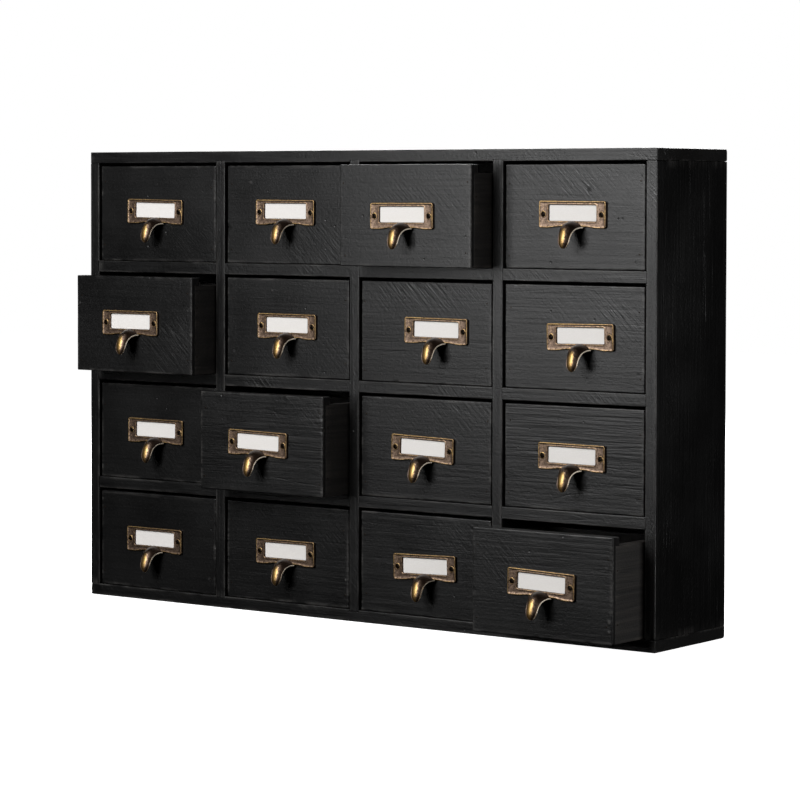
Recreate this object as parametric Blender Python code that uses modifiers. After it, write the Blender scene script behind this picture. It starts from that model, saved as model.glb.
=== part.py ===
"""Wall or table-top apothecary cabinet: a shallow case of thin boards with sixteen small drawers.

The case is boards let into each other: a top and a bottom over two sides, three dividers housed in the
top and the bottom, three shelves cross-lapped with the dividers, and a thin back in a rabbet. Each drawer
is a front board, an open tray lapped into the front's ends, and a label holder with a curved finger pull.

Units are metres. +Z is up, +X runs along the front to the right, and -Y points out of the front.
The origin is the centre of the case's underside.
"""

import math

import bmesh
import bpy
from mathutils import Vector

# Case
WIDTH = 0.600
HEIGHT = 0.400
DEPTH = 0.108
BOARD = 0.010
COLUMNS = 4
ROWS = 4
BACK_THICKNESS = 0.003
BACK_RABBET = 0.005
DIVIDER_HOUSING = 0.0018
SHELF_HOUSING = 0.0010
BOARD_BEVEL = 0.0004

# Drawer
SIDE_CLEARANCE = 0.00175
TOP_CLEARANCE = 0.0026
FRONT_THICKNESS = 0.010
FRONT_TONGUE = 0.0043
FRONT_RECESS = 0.0015
FRONT_BEVEL = 0.0006
TRAY_WALL = 0.008
TRAY_FLOOR = 0.003
TRAY_DROP = 0.007
REAR_CLEARANCE = 0.0020

# How far each open drawer stands out from its closed place, by row and column
PULLED_OUT = {(1, 3): 0.0300, (2, 1): 0.0323, (3, 2): 0.0361, (4, 4): 0.0454}

# How far each label holder, mounted by hand, is off the usual place on its front, in millimetres: right, up
HOLDER_OFFSET_MM = {
    (1, 1): (-2.0, 1.0), (1, 2): (-1.5, 1.0), (1, 3): (-2.0, -1.0), (1, 4): (-1.0, 1.0),
    (2, 1): (-3.0, 0.5), (2, 2): (0.5, 0.5), (2, 3): (11.5, 1.0), (2, 4): (7.0, 0.0),
    (3, 1): (-1.5, 0.5), (3, 2): (-2.5, -1.0), (3, 3): (-2.0, -0.5), (3, 4): (-1.0, 0.5),
    (4, 1): (-3.0, 0.5), (4, 2): (-1.0, 0.0), (4, 3): (0.5, -2.0), (4, 4): (0.5, 0.0),
}

# Label holder and finger pull
PLATE_WIDTH = 0.0644
PLATE_HEIGHT = 0.0222
PLATE_THICKNESS = 0.0020
PLATE_RISE = 0.0008
PLATE_WAIST = 0.0010
WINDOW_WIDTH = 0.0450
WINDOW_HEIGHT = 0.0132
WINDOW_RISE = 0.0012
SCREW_SPACING = 0.0558
SCREW_HOLE_RADIUS = 0.0014
SCREW_HOLE_SIDES = 8
TONGUE_REACH = 0.0130
TONGUE_DROP = 0.0172
TONGUE_THICKNESS = 0.0021
TONGUE_HALF_WIDTH = 0.0049
NECK_HALF_WIDTH = 0.0108
NECK_FLARE = 0.0050
NECK_CROWN = 0.0040
TONGUE_OVERLAP = 0.0005
TONGUE_STEPS = 7
TIP_STEPS = 5

# Fits and cutters
GAP = 0.0003
OVERCUT = 0.002
WELD_DISTANCE = 0.00001

# Worked out from the above
OPENING_WIDTH = (WIDTH - BOARD * (COLUMNS + 1)) / COLUMNS
OPENING_HEIGHT = (HEIGHT - BOARD * (ROWS + 1)) / ROWS
FRONT_Y = -DEPTH / 2
BACK_Y = DEPTH / 2
BACK_PANEL_Y = BACK_Y - BACK_THICKNESS
INNER_BACK_Y = BACK_PANEL_Y - GAP
LAP_Y = (FRONT_Y + INNER_BACK_Y) / 2
FRONT_WIDTH = OPENING_WIDTH - 2 * SIDE_CLEARANCE
FRONT_HEIGHT = OPENING_HEIGHT - TOP_CLEARANCE - GAP
DRAWER_LENGTH = INNER_BACK_Y - FRONT_Y - FRONT_RECESS - REAR_CLEARANCE
TRAY_HEIGHT = FRONT_HEIGHT - TRAY_DROP
TRAY_INSIDE = FRONT_WIDTH / 2 - TRAY_WALL

COLLECTION = "apothecary_cabinet"


def clear_scene():
    for obj in list(bpy.data.objects):
        bpy.data.objects.remove(obj)


def new_collection(name):
    collection = bpy.data.collections.new(name)
    bpy.context.scene.collection.children.link(collection)
    return collection


def new_material(name, color, metallic, roughness):
    material = bpy.data.materials.new(name)
    material.use_nodes = True
    shader = material.node_tree.nodes["Principled BSDF"]
    shader.inputs["Base Color"].default_value = (*color, 1.0)
    shader.inputs["Metallic"].default_value = metallic
    shader.inputs["Roughness"].default_value = roughness
    return material


def new_object(name, mesh, collection, location=(0, 0, 0), parent=None):
    obj = bpy.data.objects.new(name, mesh)
    obj.location = location
    obj.parent = parent
    collection.objects.link(obj)
    return obj


def new_box(name, low, high, collection):
    """A box between two corners, with its origin at its centre."""
    low, high = Vector(low), Vector(high)
    bm = bmesh.new()
    bmesh.ops.create_cube(bm, size=1.0)
    bmesh.ops.scale(bm, vec=high - low, verts=bm.verts)
    mesh = bpy.data.meshes.new(name)
    bm.to_mesh(mesh)
    bm.free()
    return new_object(name, mesh, collection, location=(low + high) / 2)


def add_bevel(obj, width):
    bevel = obj.modifiers.new("eased_edges", "BEVEL")
    bevel.width = width
    bevel.segments = 1
    bevel.limit_method = "ANGLE"


def add_boolean(obj, other, operation):
    boolean = obj.modifiers.new(other.name, "BOOLEAN")
    boolean.operation = operation
    boolean.solver = "EXACT"
    boolean.object = other


def cut_box(obj, name, low, high, cutters):
    cutter = new_box(name, low, high, cutters)
    cutter.hide_render = True
    cutter.display_type = "WIRE"
    add_boolean(obj, cutter, "DIFFERENCE")


def evaluated_mesh(obj, name):
    """The object's mesh as its modifiers leave it, in world space, with a curve's caps welded on."""
    bpy.context.view_layer.update()
    graph = bpy.context.evaluated_depsgraph_get()
    mesh = bpy.data.meshes.new_from_object(obj.evaluated_get(graph))
    mesh.name = name
    mesh.transform(obj.matrix_world)
    bm = bmesh.new()
    bm.from_mesh(mesh)
    bmesh.ops.remove_doubles(bm, verts=bm.verts, dist=WELD_DISTANCE)
    bm.to_mesh(mesh)
    bm.free()
    return mesh


def remove_objects(objects):
    for obj in objects:
        bpy.data.objects.remove(obj)


# ---------------------------------------------------------------- case


def divider_x(index):
    """Centre of a divider, counted from 1 at the left."""
    return -WIDTH / 2 + index * (OPENING_WIDTH + BOARD) + BOARD / 2


def shelf_z(index):
    """Underside of a shelf, counted from 1 at the top."""
    return HEIGHT - (index + 1) * BOARD - index * OPENING_HEIGHT


def cut_back_rabbet(board, cutters):
    low = (-WIDTH / 2 + BOARD - BACK_RABBET, BACK_PANEL_Y - GAP, BOARD - BACK_RABBET)
    high = (WIDTH / 2 - BOARD + BACK_RABBET, BACK_Y + OVERCUT, HEIGHT - BOARD + BACK_RABBET)
    cut_box(board, board.name + "_rabbet", low, high, cutters)


def cut_divider_housings(board, low_z, high_z, cutters):
    for index in range(1, COLUMNS):
        reach = BOARD / 2 + GAP
        low = (divider_x(index) - reach, FRONT_Y - OVERCUT, low_z)
        high = (divider_x(index) + reach, BACK_PANEL_Y, high_z)
        cut_box(board, f"{board.name}_housing_{index}", low, high, cutters)


def make_top_and_bottom(parts, cutters):
    half = WIDTH / 2
    top = new_box("top_board", (-half, FRONT_Y, HEIGHT - BOARD), (half, BACK_Y, HEIGHT), parts)
    bottom = new_box("bottom_board", (-half, FRONT_Y, 0), (half, BACK_Y, BOARD), parts)
    underside = HEIGHT - BOARD
    for board, low_z, high_z in (
        (top, underside - OVERCUT, underside + DIVIDER_HOUSING),
        (bottom, BOARD - DIVIDER_HOUSING, BOARD + OVERCUT),
    ):
        add_bevel(board, BOARD_BEVEL)
        cut_divider_housings(board, low_z, high_z, cutters)
        cut_back_rabbet(board, cutters)
    return [top, bottom]


def make_sides(parts, cutters):
    sides = []
    for name, inner, outward in (("left_side", -WIDTH / 2 + BOARD, -1), ("right_side", WIDTH / 2 - BOARD, 1)):
        outer = inner + outward * BOARD
        low = (min(inner, outer), FRONT_Y, BOARD + GAP)
        high = (max(inner, outer), BACK_Y, HEIGHT - BOARD - GAP)
        side = new_box(name, low, high, parts)
        add_bevel(side, BOARD_BEVEL)
        depth = inner + outward * SHELF_HOUSING
        open_end = inner - outward * OVERCUT
        for index in range(1, ROWS):
            low = (min(depth, open_end), FRONT_Y - OVERCUT, shelf_z(index) - GAP)
            high = (max(depth, open_end), BACK_PANEL_Y, shelf_z(index) + BOARD + GAP)
            cut_box(side, f"{name}_housing_{index}", low, high, cutters)
        cut_back_rabbet(side, cutters)
        sides.append(side)
    return sides


def make_dividers(parts, cutters):
    """Whole at the front, and slotted for the shelves from the back to the middle."""
    dividers = []
    end = DIVIDER_HOUSING - GAP
    for index in range(1, COLUMNS):
        x = divider_x(index)
        low = (x - BOARD / 2, FRONT_Y, BOARD - end)
        high = (x + BOARD / 2, INNER_BACK_Y, HEIGHT - BOARD + end)
        divider = new_box(f"divider_{index}", low, high, parts)
        for row in range(1, ROWS):
            low = (x - BOARD, LAP_Y, shelf_z(row) - GAP)
            high = (x + BOARD, INNER_BACK_Y + OVERCUT, shelf_z(row) + BOARD + GAP)
            cut_box(divider, f"divider_{index}_slot_{row}", low, high, cutters)
        dividers.append(divider)
    return dividers


def make_shelves(parts, cutters):
    """Slotted from the front to the middle, so each divider passes through."""
    shelves = []
    half = WIDTH / 2 - BOARD + SHELF_HOUSING - GAP
    for index in range(1, ROWS):
        z = shelf_z(index)
        shelf = new_box(f"shelf_{index}", (-half, FRONT_Y, z), (half, INNER_BACK_Y, z + BOARD), parts)
        for column in range(1, COLUMNS):
            reach = BOARD / 2 + GAP
            low = (divider_x(column) - reach, FRONT_Y - OVERCUT, z - OVERCUT)
            high = (divider_x(column) + reach, LAP_Y + GAP, z + BOARD + OVERCUT)
            cut_box(shelf, f"shelf_{index}_slot_{column}", low, high, cutters)
        shelves.append(shelf)
    return shelves


def make_back_panel(parts):
    half = WIDTH / 2 - BOARD + BACK_RABBET - GAP
    low = (-half, BACK_PANEL_Y, BOARD - BACK_RABBET + GAP)
    high = (half, BACK_Y, HEIGHT - BOARD + BACK_RABBET - GAP)
    return new_box("back_panel", low, high, parts)


# ---------------------------------------------------------------- drawer
# A drawer's own origin is the middle of its front face's lower edge.


def front_mesh(work):
    """A front board whose ends are rabbeted at the back, as high as the tray, for the tray's walls."""
    half = FRONT_WIDTH / 2
    front = new_box("front_shape", (-half, 0, 0), (half, FRONT_THICKNESS, FRONT_HEIGHT), work)
    add_bevel(front, FRONT_BEVEL)
    for side in (-1, 1):
        inner = side * (TRAY_INSIDE - GAP)
        outer = side * (half + OVERCUT)
        low = (min(inner, outer), FRONT_TONGUE, -OVERCUT)
        high = (max(inner, outer), FRONT_THICKNESS + OVERCUT, TRAY_HEIGHT + GAP)
        cut_box(front, f"front_rabbet_{side}", low, high, work)
    return evaluated_mesh(front, "drawer_front")


def tray_mesh(work):
    """Two walls, a back and a floor in one piece, open at the top and where the front board closes it."""
    half = FRONT_WIDTH / 2
    low = (-half, FRONT_TONGUE + GAP, 0)
    tray = new_box("tray_shape", low, (half, DRAWER_LENGTH, TRAY_HEIGHT), work)
    inside_low = (-TRAY_INSIDE, 0, TRAY_FLOOR)
    inside_high = (TRAY_INSIDE, DRAWER_LENGTH - TRAY_WALL, TRAY_HEIGHT + OVERCUT)
    cut_box(tray, "tray_inside", inside_low, inside_high, work)
    lap_low = (-TRAY_INSIDE, 0, -OVERCUT)
    lap_high = (TRAY_INSIDE, FRONT_THICKNESS + GAP, TRAY_HEIGHT + OVERCUT)
    cut_box(tray, "tray_front_gap", lap_low, lap_high, work)
    return evaluated_mesh(tray, "drawer_tray")


# ---------------------------------------------------------------- label holder and finger pull
# Its origin is the middle of the plate's back, on the face of the drawer front.


def outline_solid(name, outlines, half_depth, rotation, collection):
    """A flat outline, with any holes as further outlines, given half a thickness each way."""
    curve = bpy.data.curves.new(name, "CURVE")
    curve.dimensions = "2D"
    curve.fill_mode = "BOTH"
    curve.extrude = half_depth
    for points in outlines:
        spline = curve.splines.new("POLY")
        spline.points.add(len(points) - 1)
        for target, (x, y) in zip(spline.points, points):
            target.co = (x, y, 0, 1)
        spline.use_cyclic_u = True
    flat = new_object(name + "_outline", curve, collection)
    flat.rotation_euler = rotation
    mesh = evaluated_mesh(flat, name)
    bpy.data.objects.remove(flat)
    return new_object(name, mesh, collection)


def rectangle(width, height, rise):
    x, y = width / 2, height / 2
    return [(-x, rise - y), (x, rise - y), (x, rise + y), (-x, rise + y)]


def circle(x, y, radius, sides):
    angles = [2 * math.pi * step / sides for step in range(sides)]
    return [(x + radius * math.cos(a), y + radius * math.sin(a)) for a in angles]


def plate_outline():
    """A rectangle whose lower edge rises a little towards the neck of the pull."""
    x, y = PLATE_WIDTH / 2, PLATE_HEIGHT / 2
    waist = PLATE_WAIST - y
    return [(-x, -y), (-NECK_HALF_WIDTH, waist), (NECK_HALF_WIDTH, waist), (x, -y), (x, y), (-x, y)]


def neck_height():
    """Where the ends of the neck meet the plate's lower edge."""
    return PLATE_WAIST - PLATE_HEIGHT / 2 + TONGUE_OVERLAP


def tongue_profile():
    """Side view of the tongue, as (forward, up): a quarter ellipse that leaves the plate and turns down."""
    start_y = -PLATE_THICKNESS + GAP
    centre_z = neck_height() - TONGUE_DROP
    height = TONGUE_DROP + NECK_CROWN
    angles = [math.pi / 2 * step / TONGUE_STEPS for step in range(TONGUE_STEPS + 1)]
    outer = [(start_y - TONGUE_REACH * math.sin(a), centre_z + height * math.cos(a)) for a in angles]
    reach, drop = TONGUE_REACH - TONGUE_THICKNESS, height - TONGUE_THICKNESS
    inner = [(start_y - reach * math.sin(a), centre_z + drop * math.cos(a)) for a in reversed(angles)]
    return outer + inner


def tongue_outline():
    """Front view of the tongue: a domed neck that narrows to a round tip."""
    top = neck_height()
    tip_centre = top - TONGUE_DROP + TONGUE_HALF_WIDTH
    right = []
    for step in range(1, TONGUE_STEPS):
        share = step / TONGUE_STEPS
        right.append((NECK_HALF_WIDTH * share, top + NECK_CROWN * (1 - share**2)))
    for step in range(TONGUE_STEPS):
        z = top + (tip_centre - top) * step / TONGUE_STEPS
        flare = (NECK_HALF_WIDTH - TONGUE_HALF_WIDTH) * math.exp((z - top) / NECK_FLARE)
        right.append((TONGUE_HALF_WIDTH + flare, z))
    for step in range(TIP_STEPS):
        angle = math.pi / 2 * step / TIP_STEPS
        x = TONGUE_HALF_WIDTH * math.cos(angle)
        right.append((x, tip_centre - TONGUE_HALF_WIDTH * math.sin(angle)))
    left = [(-x, z) for x, z in reversed(right)]
    return [(0, top + NECK_CROWN)] + right + [(0, tip_centre - TONGUE_HALF_WIDTH)] + left


def pull_mesh(work):
    upright = (math.pi / 2, 0, 0)
    sideways = (math.pi / 2, 0, math.pi / 2)
    screw_x = SCREW_SPACING / 2
    holes = [circle(x, 0, SCREW_HOLE_RADIUS, SCREW_HOLE_SIDES) for x in (-screw_x, screw_x)]
    outlines = [plate_outline(), rectangle(WINDOW_WIDTH, WINDOW_HEIGHT, WINDOW_RISE)] + holes
    plate = outline_solid("plate", outlines, PLATE_THICKNESS / 2, upright, work)
    plate.location.y = -PLATE_THICKNESS / 2
    tongue = outline_solid("tongue", [tongue_profile()], PLATE_WIDTH / 2, sideways, work)
    trim = outline_solid("tongue_trim", [tongue_outline()], 2 * TONGUE_REACH, upright, work)
    add_boolean(tongue, trim, "INTERSECT")
    add_boolean(plate, tongue, "UNION")
    return evaluated_mesh(plate, "label_pull")


# ---------------------------------------------------------------- assembly


def drawer_place(row, column):
    """World place of a drawer's own origin, where it rests on its shelf."""
    x = -WIDTH / 2 + column * BOARD + (column - 0.5) * OPENING_WIDTH
    z = HEIGHT - row * (BOARD + OPENING_HEIGHT) + GAP
    return Vector((x, FRONT_Y + FRONT_RECESS - PULLED_OUT.get((row, column), 0.0), z))


def holder_place(row, column):
    """Place of a label holder in its drawer's own frame."""
    right, up = HOLDER_OFFSET_MM[row, column]
    return (right / 1000, -GAP, FRONT_HEIGHT / 2 + PLATE_RISE + up / 1000)


def make_drawers(meshes, parts):
    for row in range(1, ROWS + 1):
        for column in range(1, COLUMNS + 1):
            tag = f"r{row}c{column}"
            slide = new_object(f"drawer_slide_{tag}", None, parts, location=drawer_place(row, column))
            new_object(f"drawer_front_{tag}", meshes["front"], parts, parent=slide)
            new_object(f"drawer_tray_{tag}", meshes["tray"], parts, parent=slide)
            place = holder_place(row, column)
            new_object(f"label_pull_{tag}", meshes["pull"], parts, location=place, parent=slide)


def set_material(mesh, material):
    mesh.materials.clear()
    mesh.materials.append(material)


def main():
    clear_scene()
    parts = new_collection(COLLECTION)
    cutters = new_collection("cutters")
    work = new_collection("drawer_shapes")
    black_wood = new_material("black_wood", (0.013, 0.013, 0.014), 0.0, 0.55)
    tray_wood = new_material("tray_wood", (0.030, 0.026, 0.023), 0.0, 0.70)
    back_board = new_material("back_board", (0.016, 0.015, 0.015), 0.0, 0.65)
    antique_brass = new_material("antique_brass", (0.30, 0.19, 0.09), 1.0, 0.38)

    meshes = {"front": front_mesh(work), "tray": tray_mesh(work), "pull": pull_mesh(work)}
    for name, material in (("front", black_wood), ("tray", tray_wood), ("pull", antique_brass)):
        set_material(meshes[name], material)
    remove_objects(list(work.objects))
    bpy.data.collections.remove(work)

    boards = make_top_and_bottom(parts, cutters) + make_sides(parts, cutters)
    boards += make_dividers(parts, cutters) + make_shelves(parts, cutters)
    for board in boards:
        set_material(board.data, black_wood)
    set_material(make_back_panel(parts).data, back_board)
    make_drawers(meshes, parts)


main()
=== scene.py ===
"""Looks of the apothecary cabinet: painted rough-sawn wood, antique-brass label pulls, blank cards.

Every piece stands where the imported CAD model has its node, in metres, +Z up, with the front facing -Y.
"""

import math
import random

import bmesh
import bpy
import numpy as np
from mathutils import Matrix, Vector


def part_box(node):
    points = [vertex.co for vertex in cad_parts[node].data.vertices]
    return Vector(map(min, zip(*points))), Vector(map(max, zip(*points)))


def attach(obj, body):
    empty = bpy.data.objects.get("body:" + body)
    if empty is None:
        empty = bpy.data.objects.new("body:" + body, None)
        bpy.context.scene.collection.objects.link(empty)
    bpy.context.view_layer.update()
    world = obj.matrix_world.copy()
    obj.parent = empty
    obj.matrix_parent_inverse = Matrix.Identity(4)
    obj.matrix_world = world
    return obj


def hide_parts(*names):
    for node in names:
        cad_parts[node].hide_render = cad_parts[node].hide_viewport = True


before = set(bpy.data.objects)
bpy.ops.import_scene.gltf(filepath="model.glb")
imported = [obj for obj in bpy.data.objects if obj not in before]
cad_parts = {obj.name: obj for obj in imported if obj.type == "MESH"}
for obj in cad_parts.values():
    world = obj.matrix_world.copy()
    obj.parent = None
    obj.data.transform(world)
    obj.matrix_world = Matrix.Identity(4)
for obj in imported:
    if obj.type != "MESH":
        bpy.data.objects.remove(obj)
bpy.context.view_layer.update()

X, Y, Z = 0, 1, 2
ROWS = 4
COLUMNS = 4
CASE_BODY = "case"

# Camera, as the photographed view has it
CAMERA_PLACE = (1.5825, -2.1216, 0.3631)
CAMERA_AZIMUTH = 36.583
CAMERA_PITCH = -1.974
CAMERA_ROLL = -0.124
CAMERA_LENS = 138.50
CAMERA_SHIFT_Y = -0.125
SENSOR = 36.0

# Angles in degrees past which an edge is shaded sharp
WOOD_SHARP = 38
PULL_SHARP = 48
SMALL_SHARP = 40
PLAIN_SHARP = 30

# Boards: the mesh's cell size along the grain and across it, and the radius of their edges
BOARD_CELLS = (0.006, 0.0012)
FRONT_CELLS = (0.0018, 0.0009)
TRAY_CELLS = (0.008, 0.0022)
BOARD_EDGE = 0.0006
FRONT_EDGE = 0.0008
TRAY_EDGE = 0.0005
BACK_EDGE = 0.0003
EDGE_STEPS = (0.0, 0.3, 0.65, 1.0, 1.4)

# Joints
DIVIDER_PROUD = 0.00015
SHELF_SETBACK = 0.00020
JOINT_PLAY = 0.00008
SEAM_OVERLAP = 0.0003
CUT_PAST = 0.002
LAP_PLAY = 0.0002
TRAY_WALL = 0.008
TRAY_FLOOR = 0.003
FRONT_TONGUE = 0.0043

# Relief of the wood's mesh, and how wide the worn band along an edge is
RIDGE_RELIEF = 0.000022
THREAD_RELIEF = 0.000014
SWELL_RELIEF = 0.00004
DENT_DEPTH = 0.00035
BOARD_REACH = 0.0022
FRONT_REACH = 0.0030

# Paint over wood: heights and depths of the bump in metres, and the tilt of the saw marks in degrees
PLAIN_HEIGHT = 0.00005
RIDGED_HEIGHT = 0.00008
GRIT_HEIGHT = 0.00015
SAW_HEIGHT = 0.00027
CRACK_DEPTH = 0.00007
PIT_DEPTH = 0.00030
KNOT_DEPTH = 0.00018
SAW_TILT = -44.0
END_GRAIN = 0.24  # how thin the paint is on end grain, as a share of a chip
BLACK_ROUGHNESS = 0.35
BACK_ROUGHNESS = 0.55
TRAY_ROUGHNESS = 0.58

# Colours
BLACK_DARK = (0.0012, 0.0012, 0.0013)
BLACK_LIGHT = (0.0026, 0.0025, 0.0025)
BLACK_WORN = (0.050, 0.048, 0.046)
# Near black: painted shade in cracks and holes, and the dark of knots
SHADE_AND_KNOT_BLACK = (0.0010, 0.0010, 0.0010)
TRAY_DARK = (0.0070, 0.0060, 0.0054)
TRAY_LIGHT = (0.0210, 0.0180, 0.0160)
TRAY_WORN = (0.060, 0.052, 0.044)
# Deep patina, also painted shade on the tongue's left bead, edges and neck
DEEP_PATINA_AND_SHADE = (0.034, 0.017, 0.009)
PATINA_DARK = (0.084, 0.052, 0.034)
PATINA_LIGHT = (0.250, 0.172, 0.122)
BRASS_DARK = (0.37, 0.220, 0.068)
BRASS_LIGHT = (0.58, 0.375, 0.125)
# Near-white brass: a painted highlight on the tongue's right edge
BRASS_EDGE_HIGHLIGHT = (0.86, 0.76, 0.62)
STEEL_DARK = (0.008, 0.006, 0.005)
STEEL_LIGHT = (0.036, 0.027, 0.021)
CARD_DARK = (0.770, 0.745, 0.715)
CARD_LIGHT = (0.815, 0.790, 0.765)
CARD_STAIN = (0.775, 0.735, 0.690)
LACQUER = 0.4
LACQUER_ROUGHNESS = 0.38

# Label holder: the plate and its window, the screws, then the tongue from its neck to its tip
PLATE_WIDTH = 0.0644
PLATE_HEIGHT = 0.0222
PLATE_WAIST = 0.0012
WAIST_HALF_WIDTH = 0.011
WAIST_FADE = 0.013
PLATE_CORNER = 0.0019
PLATE_THICKNESS = 0.0022
FIELD_LEVEL = 0.0018
WINDOW_WIDTH = 0.0460
WINDOW_HEIGHT = 0.0133
WINDOW_RISE = 0.0012
WINDOW_CORNER = 0.0012
SCREW_X = 0.0279
BORE_RADIUS = 0.00215
CROSS_HALF_WIDTH = 0.00030
CROSS_REACH = 0.00125
NECK_Z = -0.0104
NECK_Y = -0.0014
TONGUE_REACH = 0.0132
TONGUE_DROP = 0.0172
TONGUE_HALF_WIDTH = 0.0050
NECK_HALF_WIDTH = 0.0108
NECK_FLARE = 0.32
NECK_CROWN = 0.0044
TIP_CROWN = 0.0016
TONGUE_BEAD = 0.0008
TIP_SHARE = 0.72
# Tongue's edge beads: a painted highlight on the right one, painted shade on the left one
EDGE_BEAD_HIGHLIGHT = 1.6
EDGE_BEAD_SHADE = -0.4

# Card behind the window, with how much wider and taller than the window it is
CARD_THICKNESS = 0.0003
CARD_LEVEL = 0.00042
CARD_WIDER = 0.0024
CARD_TALLER = 0.0020
CARD_CELLS = (0.0012, 0.001, 0.0012)
CARD_EDGE = 0.0001
CARD_BOW = 0.00008
CARD_RIPPLE = 0.00003

# Brads: radius, how far in from a front's end, and how far behind its face the ones in the walls are
NAIL_RADIUS = 0.0007
NAIL_INSET = 0.0045
NAIL_BEHIND = 0.0072

# Label holders that were screwed on visibly askew, in degrees, right end up
HOLDER_TILT = {"r1c1": -1.0, "r2c4": 0.8, "r3c2": -1.2, "r3c3": -1.5, "r4c3": 1.5, "r4c4": -1.6}


# ---------------------------------------------------------------- mesh helpers


def mesh_object(name, bm, smooth_angle):
    """A new object from a bmesh, in the scene's collection."""
    mesh = bpy.data.meshes.new(name)
    bm.to_mesh(mesh)
    bm.free()
    return smooth_object(name, mesh, smooth_angle)


def smooth_object(name, mesh, smooth_angle):
    obj = bpy.data.objects.new(name, mesh)
    bpy.context.scene.collection.objects.link(obj)
    mesh.shade_smooth()
    mesh.set_sharp_from_angle(angle=math.radians(smooth_angle))
    return obj


def cut_planes(low, high, edge, cell, extra):
    """Where a block is cut along one axis: closely in its rounded edges, then a cell apart."""
    marks = [low + edge * step for step in EDGE_STEPS] + [high - edge * step for step in EDGE_STEPS]
    rim = edge * EDGE_STEPS[-1]
    marks.extend(np.arange(low + rim + cell, high - rim - cell / 3, cell))
    marks.extend(extra)
    kept = []
    for mark in sorted(marks):
        if low <= mark <= high and (not kept or mark - kept[-1] > 0.00003):
            kept.append(mark)
    kept[-1] = high
    return np.array(kept)


def grid_block(low, high, edge, cells, notches):
    """Points and quads of a box cut into a grid, with box-shaped notches left out of it."""
    cuts = []
    for axis in range(3):
        extra = [corner[axis] for notch in notches for corner in notch]
        cuts.append(cut_planes(low[axis], high[axis], edge, cells[axis], extra))
    centres = np.meshgrid(*[(c[1:] + c[:-1]) / 2 for c in cuts], indexing="ij")
    solid = np.ones(centres[0].shape, bool)
    for notch_low, notch_high in notches:
        inside = np.ones(solid.shape, bool)
        for axis in range(3):
            inside &= (centres[axis] > notch_low[axis]) & (centres[axis] < notch_high[axis])
        solid &= ~inside
    padded = np.pad(solid, 1)
    counts = [len(c) for c in cuts]
    numbers = np.arange(counts[0] * counts[1] * counts[2]).reshape(counts)
    quads = []
    for axis in range(3):
        for side in (0, 1):
            beyond = np.roll(padded, -1 if side else 1, axis)[1:-1, 1:-1, 1:-1]
            bare = np.argwhere(solid & ~beyond)
            bare[:, axis] += side
            quads.append(face_corners(bare, numbers, axis, side))
    used, quads = np.unique(np.concatenate(quads), return_inverse=True)
    points = np.stack(np.meshgrid(*cuts, indexing="ij"), -1).reshape(-1, 3)[used]
    return points, quads.reshape(-1, 4)


def face_corners(cells, numbers, axis, side):
    """The four corners of each cell's face across one axis, anticlockwise from outside."""
    first, second = ((1, 2), (2, 0), (0, 1))[axis]
    corners = []
    for step_first, step_second in ((0, 0), (1, 0), (1, 1), (0, 1)):
        corner = cells.copy()
        corner[:, first] += step_first
        corner[:, second] += step_second
        corners.append(numbers[tuple(corner.T)])
    if not side:
        corners.reverse()
    return np.stack(corners, 1)


def round_edges(points, low, high, edge):
    """The points of a box with its edges made round, and which way is out at each point of it."""
    core = np.clip(points, low + edge, high - edge)
    away = points - core
    depth = np.abs(away).max(1, keepdims=True)
    out = away / np.maximum(np.linalg.norm(away, axis=1, keepdims=True), 1e-9)
    rounded = core + out * depth
    out[depth[:, 0] < edge * 0.99] = 0.0
    return rounded, out


def field(u, v, size_u, size_v, chooser):
    """Smooth random values from -1 to 1 over a plane, changing about once in each size."""
    count = 128
    values = chooser.uniform(-1.0, 1.0, (count, count))
    u, v = u / size_u + count / 2, v / size_v + count / 2
    i, j = np.floor(u).astype(int), np.floor(v).astype(int)
    a, b = u - i, v - j
    a, b = a * a * (3 - 2 * a), b * b * (3 - 2 * b)
    i, j = i % count, j % count
    next_i, next_j = (i + 1) % count, (j + 1) % count
    near = values[i, j] * (1 - a) + values[next_i, j] * a
    far = values[i, next_j] * (1 - a) + values[next_i, next_j] * a
    return near * (1 - b) + far * b


# ---------------------------------------------------------------- materials


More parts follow.
